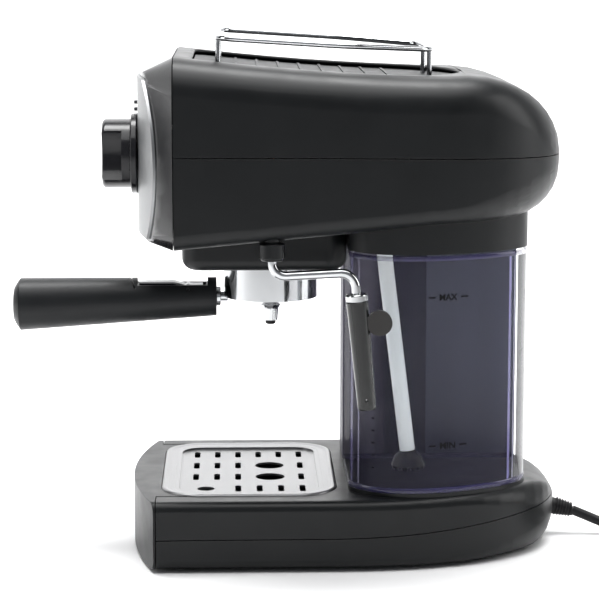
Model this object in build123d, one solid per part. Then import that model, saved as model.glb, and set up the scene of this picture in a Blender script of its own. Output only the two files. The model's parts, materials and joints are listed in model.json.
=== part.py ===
from build123d import *
import math
import os

# Pump espresso machine. +Z up, front toward -Y, the user's right hand toward +X.
# The origin is on the worktop under the centre of the machine. Millimetres.

# ---------------------------------------------------------------- driving dimensions
WALL = 2.5                  # moulded casing wall
GAP = 0.5                   # gap between neighbouring casings
RUNNING_GAP = 0.35          # clearance of pieces that move past each other
PIN_GAP = 0.05              # clearance of pins, studs and screws in their bores

# head
HEAD_HALF_WIDTH = 92.0
HEAD_FRONT_Y = -66.5        # rear edge of the bezel
REAR_Y = 168.0              # rear of the head and of the base
NOSE_REACH = 0.6            # how far past REAR_Y the rounded rears would close
HEAD_NOSE_Z = 241.6
HEAD_FRONT_LOW_Z = 192.5
HEAD_REAR_LOW_Z = 207.2
HEAD_LOW_RISE = 0.095       # slope of the underside
HEAD_FRONT_TOP_Z = 304.5
HEAD_REAR_TOP_Z = 293.0
HEAD_TOP_FLAT_Y = 100.0     # the top levels out here
HEAD_SEAM_Z = 247.0         # joint of the two head casings at the front
HEAD_SEAM_DROP = 4.0        # how much lower the joint is at the rear
SHOULDER_RADIUS = 22.0
HEAD_FOOT_RADIUS = 10.0
SIDES_STRAIGHT_Y = 30.0     # the sides of head and base round off behind this

# cup deck and rail
DECK_FRONT_Y = -56.0
DECK_HALF_WIDTH = 66.0
DECK_CORNER = 12.0
DECK_STRAIGHT_Y = 60.0
DECK_REAR_Y = 107.0
DECK_SINK = 3.2
RIB_COUNT = 8
RIB_FIRST_Y = -30.0
RIB_PITCH = 13.2
RIB_WIDTH = 1.5
RIB_HEIGHT = 0.8
RIB_INSET = 8.0             # from the deck's edge to the end of a rib
RAIL_FRONT_Y = -40.5
RAIL_REAR_Y = 86.8
RAIL_BEND_Y = 34.0          # the rail's sides turn inward here
RAIL_RADIUS = 1.7
RAIL_FRONT_Z = 315.4
RAIL_REAR_Z = 307.3
RAIL_HALF_WIDTH = 68.0
RAIL_REAR_HALF_WIDTH = 36.0
RAIL_BENDS = (11.0, 46.0, 14.0)
RAIL_POST_RADIUS = 1.5
RAIL_POSTS = ((-57.0, RAIL_FRONT_Y), (57.0, RAIL_FRONT_Y), (-23.0, RAIL_REAR_Y), (23.0, RAIL_REAR_Y))

# bezel, front plate, knob
PLATE_RADIUS = 250.0
PLATE_FRONT_Y = -90.3
PLATE_THICK = 1.6
BEZEL_FACE_Y = PLATE_FRONT_Y + PLATE_THICK
PLATE_LOW_Z = 196.5
PLATE_HIGH_Z = 291.0
PLATE_WIDEST_Z = 244.0
PLATE_TOP_HALF = 45.0
PLATE_MIDDLE_HALF = 75.0
PLATE_LOW_HALF = 58.0
PLATE_MARGIN = 2.0          # bezel showing round the plate
KNOB_Z = 242.3
KNOB_RADIUS = 21.2
KNOB_FRONT_Y = -112.0
KNOB_SCOOP_X = 29.0
KNOB_SCOOP_RADIUS = 20.5
COLLAR_RADIUS = 24.6
COLLAR_DEPTH = 4.0
SHAFT_RADIUS = 3.0
LAMP_Z = (KNOB_Z + 27.2, KNOB_Z + 31.5)
LAMP_RADIUS = 1.2
SWITCH_DEPTH = 26.0

# base, drip tray, grille
BASE_HALF_WIDTH = 90.0
BASE_BOW_Y = -94.5          # foremost point of the bowed front
BASE_BOW_RADIUS = 290.0
BASE_TOP_Z = 43.0
BASE_REAR_TOP_Z = BASE_TOP_Z + 0.5  # crest of the rounded rear
BASE_BOTTOM_Z = 2.0
BASE_NOSE_Z = 25.0
BASE_EDGE_RADIUS = 6.0
# height of the joint of base cover and base pan along its length
BASE_SEAM = ((-120.0, 18.5), (0.0, 20.3), (78.0, 22.0), (120.0, 25.4), (180.0, 31.5))
FOOT_RADIUS = 8.0
FOOT_SPOTS = ((-66.0, -62.0), (66.0, -62.0), (-56.0, 112.0), (56.0, 112.0))
FOOT_HEIGHT = 4.0
CASE_SCREW_STEP = 18.0      # from a foot to the screw behind it
CASE_SCREW_RADIUS = 1.55
TRAY_HALF_WIDTH = 72.5      # drip grille
TRAY_FRONT_Y = -76.0
TRAY_REAR_Y = 30.0
TRAY_LOW_Z = 16.0           # underside of the drip tray
TRAY_WALL = 2.0
FASCIA_Y = -79.0            # joint of the tray's curved front and the base
GRILLE_THICK = 1.5
GRILLE_FLANGE = 9.0
GRILLE_CORNER = 24.0
GRILLE_STEP = 1.5
SLOT_LENGTH = 16.0
SLOT_WIDTH = 3.6
SLOT_PITCH = 13.1
SLOT_ROW_PITCH = 31.0
FIRST_SLOT_Y = -55.8
DRAIN_RADIUS = 9.0
DRAIN_Y = -9.7
FINGER_RADIUS = 5.2

# column, tank, pump
COLUMN_FRONT_Y = 37.0
COLUMN_REAR_Y = 146.5
COLUMN_HALF_WIDTH = 80.0
COLUMN_SPLIT_X = -17.0      # joint of the column housing and the tank
PLINTH_TOP_Z = BASE_TOP_Z + 2.3
COLUMN_TOP_Z = 189.0        # underside of the neck
TANK_WALL = 2.2
TANK_FLOOR = 2.6
TANK_SIDE_GAP = 0.6
TANK_BOTTOM_Z = PLINTH_TOP_Z + GAP
TANK_TOP_Z = COLUMN_TOP_Z - 0.8
HOSE_TOP = (40.0, 59.0)
HOSE_RADIUS = 4.7
HOSE_BORE = 3.0
STRAINER_Y = 74.5
STRAINER_LOW_Z = TANK_BOTTOM_Z + 6.4
STRAINER_TOP_Z = STRAINER_LOW_Z + 10.8
STRAINER_RADIUS = 10.4
PUMP_X = -48.0
PUMP_Y = 88.0

# brewing group, boiler, steam
GROUP_Y = -9.0              # brewing axis
COVER_BOTTOM_Z = 175.3
COVER_FRONT_Y = -63.0
COVER_HALF_WIDTH = 50.0
GROUP_RING_RADIUS = 40.0
GASKET_LOW_Z = 191.0
GROUP_TOP_Z = 206.0
BOILER_RADIUS = 33.0
FLANGE_RADIUS = 43.0
FLANGE_Z = 236.0
BOILER_TOP_Z = 272.0
BOILER_WALL = 4.0
BOLT_CIRCLE = 39.5
BOLT_RADIUS = 1.85
BOLT_COUNT = 6
LUG_LOW_Z = 181.5
LUG_HIGH_Z = 185.5
VALVE_X = 62.0
VALVE_Z = 226.0
STEAM_PIPE_RADIUS = 2.0
WAND_X = 82.5
WAND_Y = -9.3
WAND_DROP_Z = 177.0
WAND_PIPE_RADIUS = 2.75
SLEEVE_TOP = (40.6, 162.5)  # Y and Z of the sleeve's upper end
SLEEVE_END = (46.8, 97.7)
SLEEVE_TOP_RADIUS = 6.5
SLEEVE_END_RADIUS = 5.5
TAB_SPOT = (53.7, 149.7)    # Y and Z of the finger tab's centre
TAB_RADIUS = 7.5

# portafilter
BOWL_RADIUS = 29.0
BOWL_BOTTOM_Z = 148.5
BOWL_BAND_Z = 153.5         # lower edge of the bowl's upright side
BOWL_TOP_Z = 174.5
BOWL_FLOOR_RADIUS = 7.0
BASKET_RADIUS = BOWL_RADIUS - 3.5
BASKET_LOW_Z = 160.0
BASKET_WALL = 0.8
SPOUT_RADIUS = 5.1
SPOUT_BORE = 3.5
SPOUT_END_Z = 136.0
HANDLE_FRONT_Y = -164.0
HANDLE_REAR_Y = -42.5
HANDLE_FRONT_Z = 148.6
HANDLE_REAR_Z = 153.0
HANDLE_FRONT_RADIUS = 16.2
HANDLE_REAR_RADIUS = 12.0
STUD_RADIUS = 3.0
STUD_DEPTH = 7.0            # how far the stud enters the handle
RECESS_FRONT_Y = -91.5      # flat recess along the top of the handle
RECESS_REAR_Y = -48.0
RECESS_Z = 161.2
RETAINER_PIVOT_Y = -60.0
RETAINER_PIVOT_Z = 159.0
RETAINER_HALF_WIDTH = 5.0
RETAINER_THICK = 1.2
RETAINER_PIN_RADIUS = 1.0

# mains cord
CORD_RADIUS = 3.0
CORD_EXIT_Z = 18.0
GLAND_RADIUS = 5.3
GLAND_FACE_Y = REAR_Y + 2.0
CORD_START = (0.0, REAR_Y + 14.0, 15.0)
COIL_RADIUS = 35.5          # middle of the turns
COIL_CENTRE = (20.5, 247.0)
COIL_SPAN = 4 * CORD_RADIUS  # two turns side by side, two layers
COIL_FLOOR_GAP = 0.6
PLUG_RADIUS = 19.0
PLUG_X = 16.0               # rear of the plug's neck
PLUG_Y = 264.7


# ---------------------------------------------------------------- shared helpers
def save(name, shape):
    """Write one sub-part."""
    shape.label = name
    export_step(shape, f"parts/{name}.step")


def block(x0, x1, y0, y1, z0, z1):
    """Box between two corners."""
    return Pos((x0 + x1) / 2, (y0 + y1) / 2, (z0 + z1) / 2) * Box(x1 - x0, y1 - y0, z1 - z0)


def post(x, y, z0, z1, radius):
    """Upright round bar."""
    return Pos(x, y, (z0 + z1) / 2) * Cylinder(radius, z1 - z0)


def bar_y(x, z, y0, y1, radius):
    """Round bar along Y."""
    return Pos(x, (y0 + y1) / 2, z) * Rot(90, 0, 0) * Cylinder(radius, y1 - y0)


def bar_x(y, z, x0, x1, radius):
    """Round bar along X."""
    return Pos((x0 + x1) / 2, y, z) * Rot(0, 90, 0) * Cylinder(radius, x1 - x0)


def turned(profile, x, y):
    """Solid of revolution about the upright axis at (x, y); profile is (radius, z) points."""
    face = make_face(Polyline(*[(r, 0, z) for r, z in profile], close=True))
    return Pos(x, y, 0) * revolve(face, Axis.Z)


def pipe(points, radii, radius):
    """Round bar along straight runs joined by tangent arcs."""
    path = FilletPolyline(*points, radius=radii)
    start = Plane(origin=path @ 0, z_dir=path % 0)
    return sweep(start * Circle(radius), path=path)


def rounded_section(y, half_width, low, high, low_radius, high_radius):
    """Face across the machine at one Y, with its own lower and upper corner radii."""
    side = half_width
    edges = [Line((low_radius - side, low), (side - low_radius, low)),
             CenterArc((side - low_radius, low + low_radius), low_radius, 270, 90),
             Line((side, low + low_radius), (side, high - high_radius)),
             CenterArc((side - high_radius, high - high_radius), high_radius, 0, 90),
             Line((side - high_radius, high), (high_radius - side, high)),
             CenterArc((high_radius - side, high - high_radius), high_radius, 90, 90),
             Line((-side, high - high_radius), (-side, low + low_radius)),
             CenterArc((low_radius - side, low + low_radius), low_radius, 180, 90)]
    return Plane(origin=(0, y, 0), x_dir=(1, 0, 0), z_dir=(0, -1, 0)) * make_face(edges)


def closing(y, start_y, power):
    """Falls from 1 at start_y to 0 just past the rear, along a superellipse."""
    reach = max(0.0, (y - start_y) / (REAR_Y + NOSE_REACH - start_y))
    return (1 - reach ** power) ** (1 / power)


def head_low(y):
    """Height of the head's underside."""
    line = min(HEAD_REAR_LOW_Z, HEAD_FRONT_LOW_Z + HEAD_LOW_RISE * (y - HEAD_FRONT_Y))
    return HEAD_NOSE_Z - (HEAD_NOSE_Z - line) * closing(y, 125.0, 2.3)


def head_top_z(y):
    """Height of the head's flat top, which falls toward the rear and levels out."""
    share = max(0.0, (HEAD_TOP_FLAT_Y - y) / (HEAD_TOP_FLAT_Y - HEAD_FRONT_Y))
    return HEAD_REAR_TOP_Z + (HEAD_FRONT_TOP_Z - HEAD_REAR_TOP_Z) * share ** 1.7


def head_high(y):
    return HEAD_NOSE_Z + (head_top_z(y) - HEAD_NOSE_Z) * closing(y, 105.0, 2.0)


def base_low(y):
    return BASE_NOSE_Z - (BASE_NOSE_Z - BASE_BOTTOM_Z) * closing(y, 148.0, 2.2)


def base_high(y):
    """Height of the base's top, with the crest of its rounded rear."""
    share = min(1.0, max(0.0, (y - 100.0) / 40.0))
    crest = BASE_TOP_Z + (BASE_REAR_TOP_Z - BASE_TOP_Z) * (1 - math.cos(math.pi * share)) / 2
    return BASE_NOSE_Z + (crest - BASE_NOSE_Z) * closing(y, 138.0, 2.4)


def long_stations(front_y, straight_y):
    """Y of the sections: few along the straight sides, closer together round the rear."""
    straight = [front_y + (straight_y - front_y) * k / 5 for k in range(5)]
    swing = math.asin((REAR_Y - straight_y) / (REAR_Y + NOSE_REACH - straight_y))
    steps = 15
    return straight + [straight_y + (REAR_Y + NOSE_REACH - straight_y) * math.sin(swing * k / steps)
                       for k in range(steps + 1)]


def long_body(front_y, straight_y, half_width, power, low_z, high_z, low_radius, high_radius, inset):
    """Ruled loft along Y with parallel sides and a rounded rear, drawn in by the inset."""
    sections = []
    stations = long_stations(front_y, straight_y)
    for index, y in enumerate(stations):
        side = half_width * closing(y, straight_y, power) - inset
        low, high = low_z(y) + inset, high_z(y) - inset
        limit = 0.44 * min(high - low, 2 * side)
        rounding = limit * max(0.0, (y - straight_y) / (REAR_Y - straight_y)) ** 2
        lower = min(limit, max(low_radius - inset, rounding))
        upper = min(limit, max(high_radius - inset, rounding))
        place = y - inset if index == len(stations) - 1 else y
        sections.append(rounded_section(place, side, low, high, lower, upper))
    return loft(sections, ruled=True)


def below_curve(points, floor=-50.0):
    """Everything under a joint line that is drawn in side view."""
    line = Spline([(y, z) for y, z in points])
    edges = [line, Line(line @ 1, ((line @ 1).X, floor)),
             Line(((line @ 1).X, floor), ((line @ 0).X, floor)), Line(((line @ 0).X, floor), line @ 0)]
    side_view = Plane(origin=(0, 0, 0), x_dir=(0, 1, 0), z_dir=(1, 0, 0))
    return extrude(side_view * make_face(edges), 130, both=True)


def column_plan(inset=0.0):
    """Plan of the column: housing, tank, plinth and neck follow it."""
    front, rear = COLUMN_FRONT_Y + inset, COLUMN_REAR_Y - inset
    side = COLUMN_HALF_WIDTH - inset
    right = Spline([(side - 26, front), (side - 9.7, 46.5), (side, 72), (side - 10, 112),
                    (side - 26, 136), (side - 46, rear)],
                   tangents=[(1, 0), (-1, 0)], tangent_scalars=[0.8, 1.0])
    left = mirror(right, Plane.YZ)
    return make_face([right, left, Line(left @ 0, right @ 0), Line(right @ 1, left @ 1)])


def plan_half(x0, x1, inset):
    """The part of the column's plan between two X values."""
    return column_plan(inset) & (Pos((x0 + x1) / 2, 90) * Rectangle(x1 - x0, 200))


# ---------------------------------------------------------------- base
def base_body(inset=0.0):
    """Whole base, with its bowed front."""
    body = long_body(BASE_BOW_Y - 15.0, SIDES_STRAIGHT_Y, BASE_HALF_WIDTH, 2.2, base_low, base_high,
                     BASE_EDGE_RADIUS, BASE_EDGE_RADIUS, inset)
    bow = post(0, BASE_BOW_Y + BASE_BOW_RADIUS, -10, 80, BASE_BOW_RADIUS - inset)
    return body & (bow + block(-120, 120, 0, 200, -10, 80))


def grille_outline(margin, low, high):
    """Upright block with the rounded outline of the drip grille, grown by the margin."""
    side = TRAY_HALF_WIDTH + margin
    outline = block(-side, side, TRAY_FRONT_Y - margin, TRAY_REAR_Y + margin, low, high)
    return fillet(outline.edges().filter_by(Axis.Z), GRILLE_CORNER + margin)


def tray_well():
    """Room for the drip tray, open to the front, with the grille's outline through the top skin."""
    side = TRAY_HALF_WIDTH + GAP
    rim = BASE_TOP_Z - GRILLE_THICK + RUNNING_GAP
    room = block(-side, side, FASCIA_Y - 30, TRAY_REAR_Y + GAP, TRAY_LOW_Z - 3, rim)
    opening = block(-side, side, FASCIA_Y - 30, TRAY_REAR_Y - GRILLE_CORNER, rim, 80)
    return room + opening + grille_outline(GAP, rim, 80)


def base_shell():
    """Hollow base behind the tray's curved front, with the walls of the tray well."""
    outer = base_body() & block(-120, 120, FASCIA_Y + GAP, 200, -10, 80)
    cavity = base_body(WALL) & block(-120, 120, FASCIA_Y + GAP + WALL, 200, -10, 80)
    side = TRAY_HALF_WIDTH + GAP + WALL
    well = block(-side, side, FASCIA_Y + GAP, TRAY_REAR_Y + GAP + WALL,
                 TRAY_LOW_Z - 3 - WALL, BASE_TOP_Z)
    plinth = extrude(column_plan(), PLINTH_TOP_Z)
    plinth = plinth & block(-100, 100, 0, 160, BASE_TOP_Z - WALL, PLINTH_TOP_Z)
    inner_plinth = extrude(column_plan(WALL), PLINTH_TOP_Z - WALL)
    inner_plinth = inner_plinth & block(-100, 100, 0, 160, BASE_TOP_Z - 2 * WALL, PLINTH_TOP_Z - WALL)
    wire_pass = post(-45, 60, 30, 80, 9)
    gland_hole = bar_y(0, CORD_EXIT_Z, REAR_Y - 12, REAR_Y + 5, GLAND_RADIUS + 0.1)
    return (outer - cavity + well + plinth) - tray_well() - inner_plinth - wire_pass - gland_hole


def make_base():
    shell = base_shell()
    under = below_curve(BASE_SEAM)
    under_gap = below_curve([(y, z + GAP) for y, z in BASE_SEAM])
    pan = shell & under
    for x, y in FOOT_SPOTS:
        pan = pan - post(x, y, -5, FOOT_HEIGHT, FOOT_RADIUS)
        pan = pan + post(x, y, FOOT_HEIGHT, FOOT_HEIGHT + WALL, FOOT_RADIUS + WALL)
    cover = shell - under_gap
    screws = []
    for x, y in FOOT_SPOTS:
        place = (x, y + CASE_SCREW_STEP)
        top = 10.0 if y < 0 else 17.0
        radius = CASE_SCREW_RADIUS
        pan = pan + post(*place, FOOT_HEIGHT, top, radius + WALL)
        pan = pan - post(*place, 0, top, radius + PIN_GAP) - post(*place, 0, 6, 2 * radius + 0.3)
        screws.append(post(*place, 3, 6, 2 * radius + 0.1) + post(*place, 5, top - 1, radius))
    save("base_pan", pan)
    save("base_cover", cover)
    save("case_screws", Compound(children=screws))
    feet = [post(x, y, 0, FOOT_HEIGHT, FOOT_RADIUS) for x, y in FOOT_SPOTS]
    save("rubber_feet", Compound(children=feet))


def make_tray():
    side = TRAY_HALF_WIDTH - 1
    top = BASE_TOP_Z - GRILLE_THICK
    low = TRAY_LOW_Z
    outer = block(-side, side, TRAY_FRONT_Y, TRAY_REAR_Y - 1, low, top)
    outer = fillet(outer.edges().filter_by(Axis.Z), 4)
    inner = block(-side + TRAY_WALL, side - TRAY_WALL, TRAY_FRONT_Y + TRAY_WALL, TRAY_REAR_Y - 1 - TRAY_WALL,
                  low + TRAY_WALL, top + 5)
    inner = fillet(inner.edges().filter_by(Axis.Z), 4 - TRAY_WALL)
    save("drip_tray", outer - inner)

    front = base_body() & block(-120, 120, -200, FASCIA_Y, -10, 80)
    hollow = base_body(WALL) & block(-120, 120, -200, FASCIA_Y - WALL, -10, 80)
    link = block(-60, 60, FASCIA_Y, TRAY_FRONT_Y, low, top)
    lip = block(-side, side, FASCIA_Y, TRAY_FRONT_Y + GRILLE_CORNER, top, BASE_TOP_Z)
    lip = lip - grille_outline(RUNNING_GAP, top - 1, BASE_TOP_Z + 1)
    save("drip_tray_front", front - hollow + link + lip)


def slot_spots():
    """Centres of the grille's slots: six across the depth, four rows across the width."""
    for row in range(4):
        for column in range(6):
            yield row, column, (1.5 - row) * -SLOT_ROW_PITCH, FIRST_SLOT_Y + column * SLOT_PITCH


def make_grille():
    top, low = BASE_TOP_Z, BASE_TOP_Z - GRILLE_THICK
    plate = grille_outline(0.0, low, top)
    inside = TRAY_HALF_WIDTH - GRILLE_FLANGE
    y0, y1 = TRAY_FRONT_Y + GRILLE_FLANGE, TRAY_REAR_Y - GRILLE_FLANGE
    well = block(-inside, inside, y0, y1, low - GRILLE_STEP, top)
    well = fillet(well.edges().filter_by(Axis.Z), GRILLE_CORNER - GRILLE_FLANGE)
    dish = block(-inside + GRILLE_THICK, inside - GRILLE_THICK, y0 + GRILLE_THICK, y1 - GRILLE_THICK,
                 top - GRILLE_STEP, top + 5)
    dish = fillet(dish.edges().filter_by(Axis.Z), GRILLE_CORNER - GRILLE_FLANGE - GRILLE_THICK)
    plate = plate + well - dish
    cuts = []
    for row, column, x, y in slot_spots():
        in_drain = row in (1, 2) and column in (3, 4)
        in_finger = row == 3 and column in (0, 1)
        if in_drain or in_finger:
            continue
        slot = Pos(x, y) * SlotOverall(SLOT_LENGTH, SLOT_WIDTH)
        cuts.append(Pos(0, 0, low - 10) * extrude(slot, 20))
    for x in (-0.5 * SLOT_ROW_PITCH, 0.5 * SLOT_ROW_PITCH):
        cuts.append(post(x, DRAIN_Y, low - 10, top + 10, DRAIN_RADIUS))
    finger = post(1.5 * SLOT_ROW_PITCH, FIRST_SLOT_Y + 0.5 * SLOT_PITCH, low - 10, top + 10, FINGER_RADIUS)
    cuts.append(finger)
    save("drip_grille", plate - cuts)


# ---------------------------------------------------------------- head casings
def head_body(inset=0.0):
    return long_body(HEAD_FRONT_Y, SIDES_STRAIGHT_Y, HEAD_HALF_WIDTH, 2.4, head_low, head_high,
                     HEAD_FOOT_RADIUS, SHOULDER_RADIUS, inset)


def deck_plan(inset=0.0):
    """Plan of the cup deck: rounded front corners and a half-oval rear."""
    side, front, corner = DECK_HALF_WIDTH - inset, DECK_FRONT_Y + inset, DECK_CORNER - inset
    rear = EllipticalCenterArc((0, DECK_STRAIGHT_Y), side, DECK_REAR_Y - DECK_STRAIGHT_Y - inset,
                               start_angle=0, arc_size=180)
    edges = [rear, Line((-side, DECK_STRAIGHT_Y), (-side, front + corner)),
             CenterArc((corner - side, front + corner), corner, 180, 90),
             Line((corner - side, front), (side - corner, front)),
             CenterArc((side - corner, front + corner), corner, 270, 90),
             Line((side, front + corner), (side, DECK_STRAIGHT_Y))]
    return make_face(edges)


def deck_slab(plan, above, below):
    """Slab under the plan that follows the head's top, between two depths under it."""
    stations = [-70 + 20 * k for k in range(10)]
    top = [(y, head_top_z(y) - above) for y in stations]
    foot = [(y, head_top_z(y) - below) for y in reversed(stations)]
    side_view = Plane(origin=(0, 0, 0), x_dir=(0, 1, 0), z_dir=(1, 0, 0))
    layer = extrude(side_view * make_face(Polyline(*top, *foot, close=True)), 100, both=True)
    return layer & (Pos(0, 0, 200) * extrude(plan, 150))


def head_seam(extra=0.0):
    first, last = HEAD_SEAM_Z + extra, HEAD_SEAM_Z - HEAD_SEAM_DROP + extra
    return [(-80.0, first), (100.0, last + 2.6), (190.0, last - 0.6)]


def make_head():
    shell = head_body() - head_body(WALL)
    under = below_curve(head_seam())
    under_gap = below_curve(head_seam(GAP))
    opening = Pos(0, 0, 200) * extrude(deck_plan(), 150)
    upper = (shell - under_gap) - opening
    save("upper_casing", upper)

    neck_height = 30.0
    neck = extrude(column_plan(), neck_height) - extrude(column_plan(WALL), neck_height)
    neck_floor = extrude(plan_half(COLUMN_SPLIT_X, 90, 0), WALL)
    neck = Pos(0, 0, COLUMN_TOP_Z) * (neck + neck_floor)
    neck = neck - head_body()
    lower = (shell & under) + neck
    column_hole = Pos(0, 0, COLUMN_TOP_Z + WALL) * extrude(column_plan(WALL), 24)
    column_hole = column_hole & block(-100, 100, 0, 200, 0, 222)
    lower = lower - column_hole
    lower = lower - post(0, GROUP_Y, 150, 215, GROUP_RING_RADIUS + 1)
    lower = lower - post(WAND_X, WAND_Y, 150, 215, 5.0)
    lower = lower - post(HOSE_TOP[0], HOSE_TOP[1], 150, 215, 6.5)
    save("lower_casing", lower)

    slab = deck_slab(deck_plan(GAP), DECK_SINK, DECK_SINK + WALL)
    rib_layer = deck_slab(deck_plan(RIB_INSET), DECK_SINK - RIB_HEIGHT, DECK_SINK + WALL / 2)
    for index in range(RIB_COUNT):
        y = RIB_FIRST_Y + index * RIB_PITCH
        slab = slab + (rib_layer & block(-100, 100, y - RIB_WIDTH / 2, y + RIB_WIDTH / 2, 0, 400))
    for x, y in RAIL_POSTS:
        slab = slab - post(x, y, 200, 400, RAIL_POST_RADIUS + 2 * PIN_GAP)
    save("cup_deck", slab)


# ---------------------------------------------------------------- cup rail
def rail_z(y):
    return RAIL_FRONT_Z + (y - RAIL_FRONT_Y) * (RAIL_REAR_Z - RAIL_FRONT_Z) / (RAIL_REAR_Y - RAIL_FRONT_Y)


def make_rail():
    right = [(0, RAIL_FRONT_Y), (RAIL_HALF_WIDTH, RAIL_FRONT_Y), (RAIL_HALF_WIDTH, RAIL_BEND_Y),
             (RAIL_REAR_HALF_WIDTH, RAIL_REAR_Y), (0, RAIL_REAR_Y)]
    points = [(x, y, rail_z(y)) for x, y in right]
    path = FilletPolyline(*points, radius=list(RAIL_BENDS))
    half = sweep(Plane(origin=path @ 0, z_dir=path % 0) * Circle(RAIL_RADIUS), path=path)
    rail = half + mirror(half, Plane.YZ)
    for x, y in RAIL_POSTS:
        foot_z = head_top_z(y) - DECK_SINK - WALL - 2
        rail = rail + post(x, y, foot_z, rail_z(y), RAIL_POST_RADIUS)
    save("cup_rail", rail)


# ---------------------------------------------------------------- front bezel, plate, knob
def bow_y(x, face_y):
    """Where the bowed front stands at one X."""
    return face_y + PLATE_RADIUS - math.sqrt(PLATE_RADIUS ** 2 - x ** 2)


def reached(rear_x, rear_z, plate_x, plate_z, front_y):
    """Point at front_y on the line from the bezel's rear edge through the plate's edge."""
    rear_y = HEAD_FRONT_Y - GAP
    share = (front_y - rear_y) / (bow_y(plate_x, BEZEL_FACE_Y) - rear_y)
    return rear_x + (plate_x - rear_x) * share, rear_z + (plate_z - rear_z) * share


def bezel_section(front_y, inset):
    """Barrel-shaped section at the front of the bezel, with the eight edges of its rear section."""
    corner = SHOULDER_RADIUS * 0.4
    top = reached(HEAD_HALF_WIDTH - corner, HEAD_FRONT_TOP_Z - corner,
                  PLATE_TOP_HALF + PLATE_MARGIN, PLATE_HIGH_Z + PLATE_MARGIN, front_y)
    middle = reached(HEAD_HALF_WIDTH, PLATE_WIDEST_Z,
                     PLATE_MIDDLE_HALF + PLATE_MARGIN, PLATE_WIDEST_Z, front_y)
    low = reached(HEAD_HALF_WIDTH - HEAD_FOOT_RADIUS, HEAD_FRONT_LOW_Z,
                  PLATE_LOW_HALF + PLATE_MARGIN, PLATE_LOW_Z - PLATE_MARGIN, front_y)
    top = (top[0] - inset, top[1] - inset)
    middle = (middle[0] - inset, middle[1])
    low = (low[0] - inset, low[1] + inset)
    cut = 2.0
    side = [(low[0] - cut, low[1]), (low[0], low[1] + cut), middle, (top[0], top[1] - cut),
            (top[0] - cut, top[1])]
    left = [(-x, z) for x, z in side]
    edges = [Line(left[0], side[0]), Line(side[0], side[1]), ThreePointArc(side[1], side[2], side[3]),
             Line(side[3], side[4]), Line(side[4], left[4]), Line(left[4], left[3]),
             ThreePointArc(left[3], left[2], left[1]), Line(left[1], left[0])]
    return Plane(origin=(0, front_y, 0), x_dir=(1, 0, 0), z_dir=(0, -1, 0)) * make_face(edges)


def bezel_body(inset=0.0):
    """Tapers from the head's outline to the plate's, ending in the bowed face."""
    rear = rounded_section(HEAD_FRONT_Y - GAP, HEAD_HALF_WIDTH - inset, HEAD_FRONT_LOW_Z + inset,
                           HEAD_FRONT_TOP_Z - inset, HEAD_FOOT_RADIUS - inset, SHOULDER_RADIUS - inset)
    front = bezel_section(BEZEL_FACE_Y - 1.0, inset)
    bow = post(0, BEZEL_FACE_Y + inset + PLATE_RADIUS, 100, 400, PLATE_RADIUS)
    return loft([rear, front], ruled=True) & bow


def make_front():
    bezel = bezel_body() - bezel_body(WALL)
    shaft_hole = bar_y(0, KNOB_Z, -100, -60, SHAFT_RADIUS + 1.0)
    bezel = bezel - shaft_hole
    for z in LAMP_Z:
        bezel = bezel - bar_y(0, z, -100, -60, LAMP_RADIUS + 2 * PIN_GAP)
    save("front_bezel", bezel)

    right = ThreePointArc((PLATE_TOP_HALF, PLATE_HIGH_Z), (PLATE_MIDDLE_HALF, PLATE_WIDEST_Z),
                          (PLATE_LOW_HALF, PLATE_LOW_Z))
    left = mirror(right, Plane.YZ)
    outline = make_face([right, left, Line(left @ 0, right @ 0), Line(right @ 1, left @ 1)])
    facing = Plane(origin=(0, -60, 0), x_dir=(1, 0, 0), z_dir=(0, -1, 0))
    column = extrude(facing * outline, 60)
    skin = (post(0, PLATE_FRONT_Y + PLATE_RADIUS, 100, 400, PLATE_RADIUS)
            - post(0, BEZEL_FACE_Y + PLATE_RADIUS, 100, 400, PLATE_RADIUS))
    plate = (skin & column) - shaft_hole
    for z in LAMP_Z:
        plate = plate - bar_y(0, z, -100, -60, LAMP_RADIUS + 2 * PIN_GAP)
    save("front_plate", plate)
    lamps = [bar_y(0, z, PLATE_FRONT_Y - 2.2, BEZEL_FACE_Y + WALL + 3, LAMP_RADIUS) for z in LAMP_Z]
    save("indicator_lamps", Compound(children=lamps))

    collar = bar_y(0, KNOB_Z, PLATE_FRONT_Y - COLLAR_DEPTH, PLATE_FRONT_Y - 0.1, COLLAR_RADIUS)
    collar = collar - bar_y(0, KNOB_Z, -120, -60, SHAFT_RADIUS + 1.0)
    save("knob_collar", collar)
    grip_rear = PLATE_FRONT_Y - COLLAR_DEPTH - RUNNING_GAP
    body = bar_y(0, KNOB_Z, KNOB_FRONT_Y, grip_rear, KNOB_RADIUS)
    body = fillet(body.edges().group_by(Axis.Y)[0], 2.5)
    for side in (-1, 1):
        scoop = bar_y(side * KNOB_SCOOP_X, KNOB_Z, KNOB_FRONT_Y - 5, grip_rear - 5, KNOB_SCOOP_RADIUS)
        body = body - scoop
    save("selector_knob", body)
    shaft = bar_y(0, KNOB_Z, grip_rear, BEZEL_FACE_Y + WALL + 18, SHAFT_RADIUS)
    save("selector_shaft", shaft)
    rear = BEZEL_FACE_Y + WALL + 0.8
    switch = block(-18, 18, rear, rear + SWITCH_DEPTH, KNOB_Z - 16, KNOB_Z + 16)
    switch = switch - bar_y(0, KNOB_Z, -120, rear + 18 + RUNNING_GAP, SHAFT_RADIUS + RUNNING_GAP)
    tag = block(-2, 2, rear + SWITCH_DEPTH, rear + SWITCH_DEPTH + 6, KNOB_Z - 0.4, KNOB_Z + 0.4)
    switch = switch + [Pos(x, 0, z) * tag for x in (-9, 0, 9) for z in (-8, 8)]
    save("selector_switch", switch)


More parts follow.
